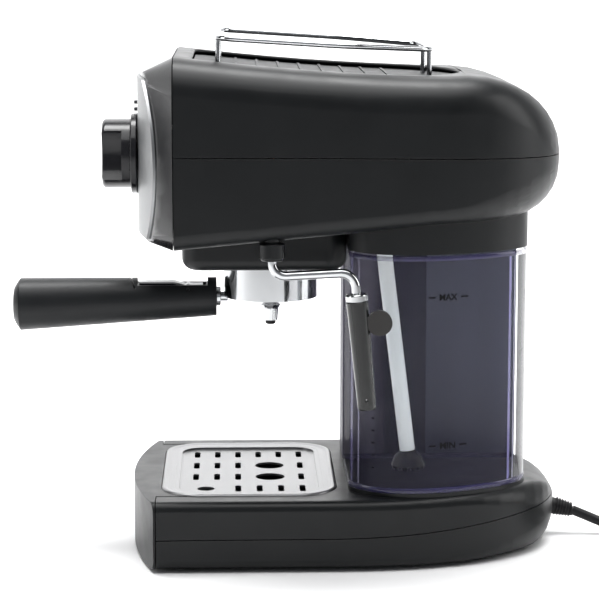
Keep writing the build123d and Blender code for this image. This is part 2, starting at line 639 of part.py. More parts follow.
# ---------------------------------------------------------------- brewing group and boiler
def make_group():
    ring = GROUP_RING_RADIUS
    neck = BOWL_RADIUS + 4.0
    head = turned([(neck + 3.5, COVER_BOTTOM_Z + 1), (ring, COVER_BOTTOM_Z + 1), (ring, GROUP_TOP_Z),
                   (0, GROUP_TOP_Z), (0, GASKET_LOW_Z + 6), (neck - 1, GASKET_LOW_Z + 6),
                   (neck - 1, LUG_HIGH_Z + 1.5), (neck + 3.5, LUG_HIGH_Z + 1.5)], 0, GROUP_Y)
    ledge = (post(0, GROUP_Y, LUG_LOW_Z - 3.5, LUG_LOW_Z - 0.5, neck + 3.6)
             - post(0, GROUP_Y, LUG_LOW_Z - 5, LUG_LOW_Z, neck - 1.5))
    for side in (0, 180):
        gate = Pos(0, GROUP_Y, LUG_LOW_Z - 2) * Rot(0, 0, side - 45) * Pos(neck, 0, 0) * Box(16, 30, 8)
        ledge = ledge - gate
    head = head + ledge - post(0, GROUP_Y, 190, 220, 3.0)
    save("group_head", head)
    save("group_gasket", turned([(BASKET_RADIUS - 2, GASKET_LOW_Z), (neck - 1.05, GASKET_LOW_Z),
                                 (neck - 1.05, GASKET_LOW_Z + 6), (BASKET_RADIUS - 2, GASKET_LOW_Z + 6)],
                                0, GROUP_Y))
    screen_z = GASKET_LOW_Z + 1.0
    screen = post(0, GROUP_Y, screen_z, screen_z + 1.2, BASKET_RADIUS - 2.05)
    screen = screen - post(0, GROUP_Y, 180, 200, 2.05)
    holes = [post(0, GROUP_Y, 180, 200, 0.8).moved(Pos(r * math.cos(a), r * math.sin(a), 0))
             for r, count in ((8, 8), (14, 14), (20, 20))
             for a in [2 * math.pi * k / count for k in range(count)]]
    save("shower_screen", screen - holes)
    screw = post(0, GROUP_Y, screen_z - 2, screen_z, 4) + post(0, GROUP_Y, screen_z - 1, screen_z + 9, 2.0)
    save("shower_screw", screw)
    low, rim = COVER_BOTTOM_Z, 199.5
    cover = block(-COVER_HALF_WIDTH, COVER_HALF_WIDTH, COVER_FRONT_Y, COLUMN_FRONT_Y - GAP, low, rim)
    cover = fillet(cover.edges().filter_by(Axis.Z), 14)
    cover = fillet(cover.edges().group_by(Axis.Z)[0], 7)
    cover = cover - head_body() - post(0, GROUP_Y, 150, 220, ring + 0.4)
    lip = post(0, GROUP_Y, low, low + 0.9, ring + 1) - post(0, GROUP_Y, low - 5, low + 5, neck + 3)
    save("group_cover", cover + lip)


def make_boiler():
    shell, flange, inner = BOILER_RADIUS, FLANGE_RADIUS, BOILER_RADIUS - BOILER_WALL
    half_gasket = 0.8
    lower = turned([(0, GROUP_TOP_Z), (shell, GROUP_TOP_Z), (shell, FLANGE_Z - 5), (flange, FLANGE_Z - 5),
                    (flange, FLANGE_Z - half_gasket), (inner, FLANGE_Z - half_gasket),
                    (inner, GROUP_TOP_Z + 6), (0, GROUP_TOP_Z + 6)], 0, GROUP_Y)
    upper = turned([(inner, FLANGE_Z + half_gasket), (flange, FLANGE_Z + half_gasket),
                    (flange, FLANGE_Z + 5), (shell, FLANGE_Z + 5), (shell, BOILER_TOP_Z - 8),
                    (shell - 8, BOILER_TOP_Z),
                    (0, BOILER_TOP_Z), (0, BOILER_TOP_Z - 5), (shell - 10, BOILER_TOP_Z - 5),
                    (inner, BOILER_TOP_Z - 11)], 0, GROUP_Y)
    rim = BOLT_CIRCLE - 2 * BOLT_RADIUS
    gasket = turned([(inner, FLANGE_Z - half_gasket), (rim, FLANGE_Z - half_gasket),
                     (rim, FLANGE_Z + half_gasket), (inner, FLANGE_Z + half_gasket)], 0, GROUP_Y)
    lower = lower - post(0, GROUP_Y, 200, 216, 3.0)
    screws = []
    for index in range(BOLT_COUNT):
        angle = 2 * math.pi * index / BOLT_COUNT
        x, y = BOLT_CIRCLE * math.cos(angle), GROUP_Y + BOLT_CIRCLE * math.sin(angle)
        bore = post(x, y, FLANGE_Z - 20, FLANGE_Z + 20, BOLT_RADIUS + PIN_GAP)
        lower = lower - bore
        upper = upper - bore
        head = post(x, y, FLANGE_Z + 5, FLANGE_Z + 8, 3.4)
        screws.append(head + post(x, y, FLANGE_Z - 9, FLANGE_Z + 6, BOLT_RADIUS))
    save("boiler_lower", lower)
    save("boiler_upper", upper)
    save("boiler_gasket", gasket)
    save("boiler_screws", Compound(children=screws))
    discs = []
    for x, y in ((-14.0, GROUP_Y - 8), (12.0, GROUP_Y - 12)):
        terminal = block(x - 3, x + 3, y - 0.5, y + 0.5, BOILER_TOP_Z + 6, BOILER_TOP_Z + 13)
        discs.append(post(x, y, BOILER_TOP_Z, BOILER_TOP_Z + 7, 8) + terminal)
    save("thermostats", Compound(children=discs))


def make_steam():
    valve = block(VALVE_X - 8, VALVE_X + 10, WAND_Y - 9, WAND_Y + 9, VALVE_Z - 9, VALVE_Z + 9)
    valve = valve + bar_x(WAND_Y, VALVE_Z, VALVE_X - 14, VALVE_X, 6)
    save("steam_valve", valve)
    run = [(0, GROUP_Y + 16, BOILER_TOP_Z), (0, GROUP_Y + 16, BOILER_TOP_Z + 12),
           (VALVE_X - 10, GROUP_Y + 16, BOILER_TOP_Z + 10), (VALVE_X, WAND_Y, VALVE_Z + 30),
           (VALVE_X, WAND_Y, VALVE_Z + 9)]
    save("steam_pipe", pipe(run, [6, 10, 8], STEAM_PIPE_RADIUS))
    socket = turned([(3.2, 186.5), (6.2, 186.5), (7.5, 188), (7.5, 196.5), (4.9, 197.5), (4.9, 205),
                     (3.2, 205)], WAND_X, WAND_Y)
    save("wand_socket", socket)
    drop = SLEEVE_END[1] + 6
    lean = (SLEEVE_END[0] - SLEEVE_TOP[0]) / (SLEEVE_TOP[1] - SLEEVE_END[1])
    tip_y = SLEEVE_TOP[0] + lean * (SLEEVE_TOP[1] - drop)
    knee_y = SLEEVE_TOP[0] - lean * (WAND_DROP_Z + 2.5 - SLEEVE_TOP[1])
    run = [(WAND_X, WAND_Y, 205), (WAND_X, WAND_Y, WAND_DROP_Z), (WAND_X, knee_y, WAND_DROP_Z + 2.5),
           (WAND_X, tip_y, drop)]
    wand = pipe(run, [8, 9], WAND_PIPE_RADIUS)
    save("steam_wand", wand)


def sleeve_place():
    """Frame with its origin at the sleeve's upper end and its Z axis up the sleeve."""
    along = Vector(0, SLEEVE_TOP[0] - SLEEVE_END[0], SLEEVE_TOP[1] - SLEEVE_END[1])
    return Plane(origin=(WAND_X, SLEEVE_TOP[0], SLEEVE_TOP[1]), x_dir=(1, 0, 0), z_dir=along)


def sleeve_turned(profile):
    face = make_face(Polyline(*[(r, 0, z) for r, z in profile], close=True))
    return sleeve_place().location * revolve(face, Axis.Z)


def make_sleeve():
    length = math.hypot(SLEEVE_TOP[0] - SLEEVE_END[0], SLEEVE_TOP[1] - SLEEVE_END[1])
    bore = WAND_PIPE_RADIUS + RUNNING_GAP
    top_radius, end_radius = SLEEVE_TOP_RADIUS, SLEEVE_END_RADIUS
    sleeve = sleeve_turned([(bore, -length), (end_radius - 0.5, -length), (end_radius, -length + 1),
                            (top_radius, -0.6), (top_radius - 0.5, 0), (bore, 0)])
    steam_hole = sleeve_place().location * Pos(0, 0, -length + 6) * Rot(0, 90, 0) * Cylinder(1.0, 20)
    save("frother_sleeve", sleeve - steam_hole)
    ring = sleeve_turned([(bore, PIN_GAP), (top_radius + 0.1, PIN_GAP), (top_radius + 0.1, 3.6),
                          (top_radius - 0.7, 4.4), (bore, 4.4)])
    save("wand_collar", ring)
    tab_y, tab_z = TAB_SPOT
    tab = Pos(WAND_X + 1.8, tab_y, tab_z) * Rot(0, 90, 0) * Cylinder(TAB_RADIUS, 4.4)
    tab = tab + block(WAND_X - 0.4, WAND_X + 4, SLEEVE_TOP[0] + 3.4, tab_y - 3.7, tab_z - 3.7, tab_z + 3.8)
    cone = sleeve_turned([(0, -length), (end_radius + 0.1, -length), (top_radius + 0.06, 0), (0, 0)])
    save("frother_tab", tab - cone)


# ---------------------------------------------------------------- tank, hose, strainer, pump
def make_tank():
    plan = plan_half(COLUMN_SPLIT_X + GAP, 90, TANK_SIDE_GAP)
    outer = Pos(0, 0, TANK_BOTTOM_Z) * extrude(plan, TANK_TOP_Z - TANK_BOTTOM_Z)
    inner_plan = plan_half(COLUMN_SPLIT_X + GAP + TANK_WALL, 90, TANK_SIDE_GAP + TANK_WALL)
    inner = Pos(0, 0, TANK_BOTTOM_Z + TANK_FLOOR) * extrude(inner_plan, 200)
    save("water_tank", outer - inner)
    x, y = HOSE_TOP
    run = [(x, y, TANK_TOP_Z), (x, y + 2.0, 170.0), (x, STRAINER_Y - 0.5, STRAINER_TOP_Z + 0.6)]
    save("intake_hose", pipe(run, [120], HOSE_RADIUS) - pipe(run, [120], HOSE_BORE))
    wide, top, low = STRAINER_RADIUS, STRAINER_TOP_Z, STRAINER_LOW_Z
    strainer = turned([(0, low), (wide - 0.8, low), (wide, low + 2.3), (wide - 2.2, top - 3),
                       (HOSE_RADIUS, top), (0, top)], x, STRAINER_Y)
    teeth = [Pos(x, STRAINER_Y, low) * Rot(0, 0, 30 * k) * Box(30, 2.2, 4.0) for k in range(6)]
    save("intake_strainer", strainer - teeth)


def make_column():
    plan = plan_half(-90, COLUMN_SPLIT_X, 0)
    inner_plan = plan_half(-90, COLUMN_SPLIT_X - WALL, WALL)
    height = COLUMN_TOP_Z - GAP - PLINTH_TOP_Z
    housing = Pos(0, 0, PLINTH_TOP_Z) * (extrude(plan, height) - extrude(inner_plan, height))
    save("column_shell", housing)
    body = post(PUMP_X, PUMP_Y, 84, 128, 19) + post(PUMP_X, PUMP_Y, 66, 84, 11)
    body = body + post(PUMP_X, PUMP_Y, 128, 158, 8) + post(PUMP_X, PUMP_Y, 58, 66, 3.5)
    save("pump_body", body)
    mounts = [turned([(8.05, z), (13, z), (13, z + 6), (8.05, z + 6)], PUMP_X, PUMP_Y) for z in (134, 146)]
    arms = [block(PUMP_X - 24, PUMP_X - 12.5, PUMP_Y - 4, PUMP_Y + 4, z, z + 6) for z in (134, 146)]
    save("pump_mounts", Compound(children=[m + a for m, a in zip(mounts, arms)]))
    run = [(PUMP_X, PUMP_Y, 158), (PUMP_X, PUMP_Y, 225), (PUMP_X + 6, 40, 262), (-12, GROUP_Y + 14, 286),
           (-12, GROUP_Y + 14, BOILER_TOP_Z)]
    save("pressure_hose", pipe(run, [18, 14, 6], 2.6))
    valve_side = COLUMN_SPLIT_X - WALL - GAP
    save("safety_valve", block(valve_side - 14, valve_side, 108, 120, 100, 122)
         + post(valve_side - 7, 114, 122, 134, 4))


# ---------------------------------------------------------------- portafilter
def handle_frame(y):
    """Height and radius of the handle at one Y."""
    share = (y - HANDLE_FRONT_Y) / (HANDLE_REAR_Y - HANDLE_FRONT_Y)
    z = HANDLE_FRONT_Z + share * (HANDLE_REAR_Z - HANDLE_FRONT_Z)
    radius = HANDLE_FRONT_RADIUS + share * (HANDLE_REAR_RADIUS - HANDLE_FRONT_RADIUS)
    return z, radius


def make_portafilter():
    rim, floor = BOWL_RADIUS + 2.0, 4.0
    inside, hole = BASKET_RADIUS + 0.4, SPOUT_RADIUS + PIN_GAP
    bowl = turned([(hole, BOWL_BOTTOM_Z), (BOWL_FLOOR_RADIUS, BOWL_BOTTOM_Z), (BOWL_RADIUS, BOWL_BAND_Z),
                   (BOWL_RADIUS, BOWL_TOP_Z), (rim, BOWL_TOP_Z + 2), (rim, GASKET_LOW_Z - 2.2),
                   (inside, GASKET_LOW_Z - 2.2), (inside, BOWL_BAND_Z + floor),
                   (BOWL_FLOOR_RADIUS + 1, BOWL_BOTTOM_Z + floor),
                   (hole, BOWL_BOTTOM_Z + floor)], 0, GROUP_Y)
    for side in (-1, 1):
        lug = block(rim - 1 if side > 0 else -rim - 4, rim + 4 if side > 0 else 1 - rim,
                    GROUP_Y - 9, GROUP_Y + 9, LUG_LOW_Z, LUG_HIGH_Z)
        bowl = bowl + (lug & post(0, GROUP_Y, 150, 220, rim + 3.6))
    stud_end = GROUP_Y - BOWL_RADIUS + 2.5
    bowl = bowl - bar_y(0, HANDLE_REAR_Z, HANDLE_REAR_Y, stud_end + 0.5, STUD_RADIUS + PIN_GAP)
    save("portafilter_bowl", bowl)
    bore, side = SPOUT_BORE, SPOUT_RADIUS
    spout = turned([(bore, SPOUT_END_Z + 2), (side - 0.6, SPOUT_END_Z + 2), (side, BOWL_BOTTOM_Z - 3),
                    (BOWL_FLOOR_RADIUS, BOWL_BOTTOM_Z - PIN_GAP), (side, BOWL_BOTTOM_Z - PIN_GAP),
                    (side, BOWL_BOTTOM_Z + floor - 0.1), (bore, BOWL_BOTTOM_Z + floor - 0.1)], 0, GROUP_Y)
    save("portafilter_spout", spout)
    tip = turned([(bore - 1.5, SPOUT_END_Z - 0.6), (bore - 0.3, SPOUT_END_Z), (bore - 0.1, SPOUT_END_Z + 6),
                  (bore - 1.5, SPOUT_END_Z + 6)], 0, GROUP_Y)
    save("spout_tip", tip)
    wall, radius, top, low = BASKET_WALL, BASKET_RADIUS, GASKET_LOW_Z - 0.6, BASKET_LOW_Z
    basket = turned([(0, low), (radius - 3, low), (radius, low + 4), (radius, top - 1.4),
                     (rim - 1, top - 1.4), (rim - 1, top), (radius - wall, top), (radius - wall, low + 4),
                     (radius - 3.5, low + wall), (0, low + wall)], 0, GROUP_Y)
    save("filter_basket", basket)

    rear_z, rear_r = handle_frame(HANDLE_REAR_Y)
    front_z, front_r = handle_frame(HANDLE_FRONT_Y)
    facing = dict(x_dir=(1, 0, 0), z_dir=(0, -1, 0))
    sections = [Plane(origin=(0, HANDLE_REAR_Y, rear_z), **facing) * Circle(rear_r),
                Plane(origin=(0, HANDLE_FRONT_Y, front_z), **facing) * Circle(front_r)]
    grip = loft(sections)
    slot_side = RETAINER_HALF_WIDTH + 1.5
    recess = block(-30, 30, RECESS_FRONT_Y, RECESS_REAR_Y, RECESS_Z, 190)
    slot = block(-slot_side, slot_side, RECESS_FRONT_Y + 1, RECESS_REAR_Y - 1, RECESS_Z - 8, 190)
    slit = Pos(0, RECESS_FRONT_Y - 4.2, RECESS_Z + 4) * Rot(28, 0, 0) * Box(60, 1.1, 13)
    grip = grip - recess - slot - slit
    grip = grip - bar_y(0, rear_z, HANDLE_REAR_Y - STUD_DEPTH - 1, HANDLE_REAR_Y + 5, STUD_RADIUS + PIN_GAP)
    pin_y, pin_z, pin = RETAINER_PIVOT_Y, RETAINER_PIVOT_Z, RETAINER_PIN_RADIUS
    grip = grip - bar_x(pin_y, pin_z, -14, 14, pin + PIN_GAP)
    save("portafilter_handle", grip)
    cap = Plane(origin=(0, HANDLE_FRONT_Y, front_z), **facing).location * Pos(0, 0, -18.5) * Sphere(24.5)
    cap = cap & block(-40, 40, -200, HANDLE_FRONT_Y - 0.05, 100, 200)
    save("handle_cap", cap & bar_y(0, front_z, -REAR_Y, -100, front_r))
    stud = bar_y(0, HANDLE_REAR_Z, HANDLE_REAR_Y - STUD_DEPTH, stud_end, STUD_RADIUS)
    stud = stud + bar_y(0, HANDLE_REAR_Z, HANDLE_REAR_Y + 0.1, HANDLE_REAR_Y + 2.6, 2 * STUD_RADIUS)
    save("handle_stud", stud)

    half, thick = RETAINER_HALF_WIDTH, RETAINER_THICK
    front, top = RECESS_FRONT_Y + 1.2, RECESS_Z + 0.5 + thick
    profile = [(front, top), (pin_y - 9, top), (pin_y - 2, pin_z + 2), (RECESS_REAR_Y - 3, pin_z + 2),
               (RECESS_REAR_Y - 3, pin_z + 2 - thick), (pin_y - 2.6, pin_z + 2 - thick),
               (pin_y - 9.5, top - thick), (front, top - thick)]
    side_view = Plane(origin=(0, 0, 0), x_dir=(0, 1, 0), z_dir=(1, 0, 0))
    strip = extrude(side_view * make_face(Polyline(*profile, close=True)), half, both=True)
    strip = strip + bar_x(pin_y, pin_z, -half, half, 2.4) - bar_x(pin_y, pin_z, -14, 14, pin + 2 * PIN_GAP)
    save("basket_retainer", strip)
    save("retainer_pin", bar_x(pin_y, pin_z, -9, 9, pin))


# ---------------------------------------------------------------- mains cord
def cord_route():
    """Points of the cord between the gland and the coil, chosen by hand."""
    return [CORD_START, (1.0, 192, 11.0), (4.0, 202, 7.2), (5.0, 211, 5.2),
            (3.0, 220, 4.2), (-3.0, 228, 3.9), (-10.0, 235, 3.8), (-15.0, 244, 3.7)]


def lead_route():
    """Points of the short end between the coil and the plug."""
    return [(-4.0, 222.5, 11.5), (-14.0, 236.0, 19.0), (-12.0, 253.0, 26.0), (1.0, 263.5, 30.5),
            (PLUG_X, PLUG_Y, coil_top() + PLUG_RADIUS)]


def coil_top():
    return COIL_FLOOR_GAP + COIL_SPAN


def corner_radii(points):
    """Largest tangent arcs: 0.45 of the shorter run over the tangent of half the turn."""
    corners = [Vector(*p) for p in points]
    radii = []
    for before, here, after in zip(corners, corners[1:], corners[2:]):
        incoming, outgoing = here - before, after - here
        half_turn = math.radians(incoming.get_angle(outgoing)) / 2
        radii.append(0.45 * min(incoming.length, outgoing.length) / math.tan(half_turn))
    return radii


def cord_tube(name, points):
    """Round cord along its route, with a print of its radii and its volume."""
    radii = corner_radii(points)
    path = FilletPolyline(*points, radius=radii)
    tube = sweep(Plane(origin=path @ 0, z_dir=path % 0) * Circle(CORD_RADIUS), path=path)
    share = tube.volume / (math.pi * CORD_RADIUS ** 2 * path.length)
    print(name, "length", round(path.length, 1), "radii", [round(r, 1) for r in radii],
          "volume over section times length", round(share, 4))
    save(name, tube)


def make_cord():
    facing = dict(x_dir=(1, 0, 0), z_dir=(0, 1, 0))
    taper = loft([Plane(origin=(0, GLAND_FACE_Y, CORD_EXIT_Z), **facing) * Circle(GLAND_RADIUS),
                  Plane(origin=CORD_START, **facing) * Circle(CORD_RADIUS + 0.8)])
    gland = bar_y(0, CORD_EXIT_Z, REAR_Y - 10, GLAND_FACE_Y, GLAND_RADIUS) + taper
    save("cord_gland", gland)
    cord_tube("power_cord", cord_route())
    cord_tube("plug_lead", lead_route())

    x, y = COIL_CENTRE
    half_span = COIL_SPAN / 2
    coil = post(x, y, COIL_FLOOR_GAP, coil_top(), COIL_RADIUS + half_span)
    coil = coil - post(x, y, -1, 20, COIL_RADIUS - half_span)
    save("cord_coil", coil)
    tie = block(x - 3, x + 3, y + COIL_RADIUS - half_span - 0.6, y + COIL_RADIUS + half_span + 0.6,
                0, coil_top() + 0.6)
    save("cord_tie", tie - post(x, y, COIL_FLOOR_GAP, coil_top(), COIL_RADIUS + half_span)
         + (tie & post(x, y, -1, 20, COIL_RADIUS - half_span)))

    profile = [(0, 0), (CORD_RADIUS + 1.4, 0), (7.0, 14.0), (9.0, 20.0), (16.0, 24.0), (PLUG_RADIUS, 27.0),
               (PLUG_RADIUS, 43.0), (0, 43.0)]
    side_on = Pos(PLUG_X, PLUG_Y, coil_top() + PLUG_RADIUS) * Rot(0, 90, 0)
    body = revolve(make_face(Polyline(*[(r, 0, z) for r, z in profile], close=True)), Axis.Z)
    pins = [Pos(0, side * 9.5, 0) * post(0, 0, 40.0, 62.0, 2.4) for side in (-1, 1)]
    save("plug_body", side_on * (body - pins))
    save("plug_pins", Compound(children=[side_on * pin for pin in pins]))


def main():
    os.makedirs("parts", exist_ok=True)
    make_base()
    make_tray()
    make_grille()
    make_head()
    make_rail()
    make_front()
    make_group()
    make_boiler()
    make_steam()
    make_sleeve()
    make_tank()
    make_column()
    make_portafilter()
    make_cord()


main()
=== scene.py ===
import bpy
import bmesh
import json
import math
from mathutils import Matrix, Vector
from mathutils.bvhtree import BVHTree

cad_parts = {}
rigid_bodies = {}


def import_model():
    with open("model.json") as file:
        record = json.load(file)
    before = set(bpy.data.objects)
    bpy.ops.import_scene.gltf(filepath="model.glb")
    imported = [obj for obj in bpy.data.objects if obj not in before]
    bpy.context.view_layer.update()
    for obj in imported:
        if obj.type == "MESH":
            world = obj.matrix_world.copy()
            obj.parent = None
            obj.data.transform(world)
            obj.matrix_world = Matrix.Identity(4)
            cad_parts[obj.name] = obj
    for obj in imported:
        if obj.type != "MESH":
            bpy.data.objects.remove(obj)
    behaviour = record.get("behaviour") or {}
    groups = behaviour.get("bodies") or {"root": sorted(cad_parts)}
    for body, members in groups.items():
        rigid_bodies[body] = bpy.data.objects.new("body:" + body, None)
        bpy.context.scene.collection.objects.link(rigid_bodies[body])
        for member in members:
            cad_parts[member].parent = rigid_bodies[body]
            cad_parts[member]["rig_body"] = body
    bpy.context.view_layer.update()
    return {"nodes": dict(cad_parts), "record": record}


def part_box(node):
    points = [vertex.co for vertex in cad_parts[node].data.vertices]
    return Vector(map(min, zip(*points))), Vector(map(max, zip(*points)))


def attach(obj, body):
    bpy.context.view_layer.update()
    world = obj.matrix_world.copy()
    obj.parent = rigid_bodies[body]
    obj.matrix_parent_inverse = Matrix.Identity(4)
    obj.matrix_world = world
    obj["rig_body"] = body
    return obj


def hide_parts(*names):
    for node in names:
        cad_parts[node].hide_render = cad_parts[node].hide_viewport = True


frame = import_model()
NODES = frame["nodes"]

MM = 0.001


# ---------------------------------------------------------------- camera, floor, light
CAMERA_PLACE = Vector((1.400, -0.0305, 0.369))
CAMERA_TILT = math.radians(8.86)
CAMERA_YAW = math.radians(1.62)
SENSOR = 36.0               # millimetres, as the lens is
LENS = 136.73


def make_camera():
    """Long lens from the machine's right side, a little above it."""
    ahead = Vector((-math.cos(CAMERA_TILT) * math.cos(CAMERA_YAW),
                    math.cos(CAMERA_TILT) * math.sin(CAMERA_YAW), -math.sin(CAMERA_TILT)))
    right = Vector((math.sin(CAMERA_YAW), math.cos(CAMERA_YAW), 0))
    up = right.cross(ahead)
    data = bpy.data.cameras.new("camera")
    data.sensor_width = SENSOR
    data.lens = LENS
    camera = bpy.data.objects.new("camera", data)
    turn = Matrix((right, up, -ahead)).transposed().to_4x4()
    camera.matrix_world = Matrix.Translation(CAMERA_PLACE) @ turn
    bpy.context.scene.collection.objects.link(camera)
    bpy.context.scene.camera = camera


def area_light(name, place, target, width, height, power):
    """White soft box that faces its target; sizes in metres, power in watts."""
    data = bpy.data.lights.new(name, "AREA")
    data.shape = "RECTANGLE"
    data.size, data.size_y = width, height
    data.energy = power
    light = bpy.data.objects.new(name, data)
    light.location = place
    light.rotation_euler = (Vector(target) - Vector(place)).to_track_quat("-Z", "Y").to_euler()
    bpy.context.scene.collection.objects.link(light)


WORLD_STRENGTH = 0.34
WORLD_COLOUR = (0.93, 0.95, 1.0)
WORLD_DIMMEST = 0.06


def make_world():
    """Even white surroundings that fade to dark in front of the machine and behind it."""
    bpy.context.scene.view_settings.view_transform = "Standard"
    world = bpy.data.worlds.new("studio")
    world.use_nodes = True
    background = world.node_tree.nodes["Background"]
    background.inputs["Strength"].default_value = WORLD_STRENGTH
    tree = world.node_tree
    coordinates = tree.nodes.new("ShaderNodeTexCoord")
    split = tree.nodes.new("ShaderNodeSeparateXYZ")
    tree.links.new(coordinates.outputs["Generated"], split.inputs["Vector"])
    away = tree.nodes.new("ShaderNodeMath")
    away.operation = "ABSOLUTE"
    tree.links.new(split.outputs["Y"], away.inputs[0])
    dim = remap(tree, away.outputs["Value"], 1.0, WORLD_DIMMEST)
    tree.links.new(tint(tree, dim, (0.0, 0.0, 0.0), WORLD_COLOUR), background.inputs["Color"])
    bpy.context.scene.world = world


FLOOR_NEAR_X = 4.0
FLOOR_FAR_X = -1.6
FLOOR_BEND = 0.6
FLOOR_HALF_WIDTH = 5.0
BACKDROP_TOP_Z = 3.0
FLOOR_WHITE = 0.93


def make_floor():
    """Pale floor that curves up into a backdrop behind the machine."""
    mesh = bpy.data.meshes.new("floor")
    profile = [(FLOOR_NEAR_X, 0.0), (FLOOR_FAR_X, 0.0)]
    bend, steps = FLOOR_BEND, 12
    profile += [(FLOOR_FAR_X - bend * math.sin(a), bend - bend * math.cos(a))
                for a in (math.pi / 2 * k / steps for k in range(1, steps + 1))]
    profile.append((FLOOR_FAR_X - bend, BACKDROP_TOP_Z))
    verts = [(x, y, z) for x, z in profile for y in (-FLOOR_HALF_WIDTH, FLOOR_HALF_WIDTH)]
    faces = [(2 * i, 2 * i + 1, 2 * i + 3, 2 * i + 2) for i in range(len(profile) - 1)]
    mesh.from_pydata(verts, [], faces)
    for polygon in mesh.polygons:
        polygon.use_smooth = True
    floor = bpy.data.objects.new("floor", mesh)
    bpy.context.scene.collection.objects.link(floor)
    material = bpy.data.materials.new("floor_white")
    material.use_nodes = True
    shader = material.node_tree.nodes["Principled BSDF"]
    shader.inputs["Base Color"].default_value = (FLOOR_WHITE, FLOOR_WHITE, FLOOR_WHITE, 1)
    shader.inputs["Roughness"].default_value = 0.6
    mesh.materials.append(material)


def make_light():
    area_light("overhead", (0.1, 0.1, 1.6), (0.0, 0.05, 0.1), 1.4, 1.6, 27)
    area_light("backdrop_wash", (-0.5, 0.0, 2.6), (-2.0, 0.0, 0.5), 2.5, 1.0, 110)
    area_light("rear_strip", (0.1, 1.5, 0.75), (0.0, 0.1, 0.2), 0.7, 1.2, 10)
    area_light("front_strip", (0.3, -1.6, 0.7), (0.0, -0.1, 0.2), 0.7, 1.2, 7)


# ---------------------------------------------------------------- materials
PLASTIC_SPECULAR = 0.24
WALL_SPECULAR = 0.12


def new_material(name):
    material = bpy.data.materials.new(name)
    material.use_nodes = True
    tree = material.node_tree
    return material, tree, tree.nodes["Principled BSDF"]


def noise_field(tree, scale, detail=3.0, stretch=None):
    """Noise in the machine's own coordinates; stretch squeezes it along one direction."""
    coordinates = tree.nodes.new("ShaderNodeTexCoord")
    source = coordinates.outputs["Object"]
    if stretch:
        mapping = tree.nodes.new("ShaderNodeMapping")
        mapping.inputs["Scale"].default_value = stretch
        tree.links.new(source, mapping.inputs["Vector"])
        source = mapping.outputs["Vector"]
    field = tree.nodes.new("ShaderNodeTexNoise")
    field.inputs["Scale"].default_value = scale
    field.inputs["Detail"].default_value = detail
    tree.links.new(source, field.inputs["Vector"])
    return field.outputs["Fac"]


def remap(tree, value, low, high):
    """Spreads the middle of the value's range, 0.3 to 0.7, from low to high."""
    node = tree.nodes.new("ShaderNodeMapRange")
    node.inputs["From Min"].default_value = 0.3
    node.inputs["From Max"].default_value = 0.7
    node.inputs["To Min"].default_value = low
    node.inputs["To Max"].default_value = high
    tree.links.new(value, node.inputs["Value"])
    return node.outputs["Result"]


def tint(tree, value, dark, light):
    """Mixes two colours by the value."""
    node = tree.nodes.new("ShaderNodeMix")
    node.data_type = "RGBA"
    node.inputs["A"].default_value = (*dark, 1)
    node.inputs["B"].default_value = (*light, 1)
    tree.links.new(value, node.inputs["Factor"])
    return node.outputs["Result"]


def bump(tree, shader, value, strength, distance):
    """Fine relief; distance in metres."""
    node = tree.nodes.new("ShaderNodeBump")
    node.inputs["Strength"].default_value = strength
    node.inputs["Distance"].default_value = distance
    tree.links.new(value, node.inputs["Height"])
    tree.links.new(node.outputs["Normal"], shader.inputs["Normal"])


def moulded(name, colour, roughness, grain=0.25, coat=0.0, grain_scale=1500.0):
    """Moulded plastic or rubber: fine grain, faint handling marks in its sheen."""
    material, tree, shader = new_material(name)
    cloudy = noise_field(tree, 22.0, 4.0)
    darker = tuple(c * 0.82 for c in colour)
    lighter = tuple(min(1.0, c * 1.15 + 0.002) for c in colour)
    tree.links.new(tint(tree, cloudy, darker, lighter), shader.inputs["Base Color"])
    patches = noise_field(tree, 60.0, 5.0)
    tree.links.new(remap(tree, patches, roughness * 0.88, roughness * 1.12), shader.inputs["Roughness"])
    bump(tree, shader, noise_field(tree, grain_scale, 2.0), grain, 0.00005)
    shader.inputs["Specular IOR Level"].default_value = PLASTIC_SPECULAR
    shader.inputs["Coat Weight"].default_value = coat
    shader.inputs["Coat Roughness"].default_value = 0.06
    return material


def brushed(name, colour, roughness, stretch, grain=0.3):
    """Brushed metal: long fine scratches along one direction."""
    material, tree, shader = new_material(name)
    lines = noise_field(tree, 900.0, 4.0, stretch)
    darker = tuple(c * 0.9 for c in colour)
    tree.links.new(tint(tree, lines, darker, colour), shader.inputs["Base Color"])
    tree.links.new(remap(tree, lines, roughness * 0.75, roughness * 1.3), shader.inputs["Roughness"])
    shader.inputs["Metallic"].default_value = 1.0
    bump(tree, shader, lines, grain, 0.00004)
    return material


def polished(name, colour, roughness):
    """Bright metal with faint waviness and fine wiping marks."""
    material, tree, shader = new_material(name)
    marks = noise_field(tree, 180.0, 6.0)
    tree.links.new(remap(tree, marks, roughness * 0.6, roughness * 1.6), shader.inputs["Roughness"])
    cloudy = noise_field(tree, 30.0, 3.0)
    darker = tuple(c * 0.96 for c in colour)
    tree.links.new(tint(tree, cloudy, darker, colour), shader.inputs["Base Color"])
    shader.inputs["Metallic"].default_value = 1.0
    bump(tree, shader, noise_field(tree, 45.0, 2.0), 0.06, 0.0002)
    return material


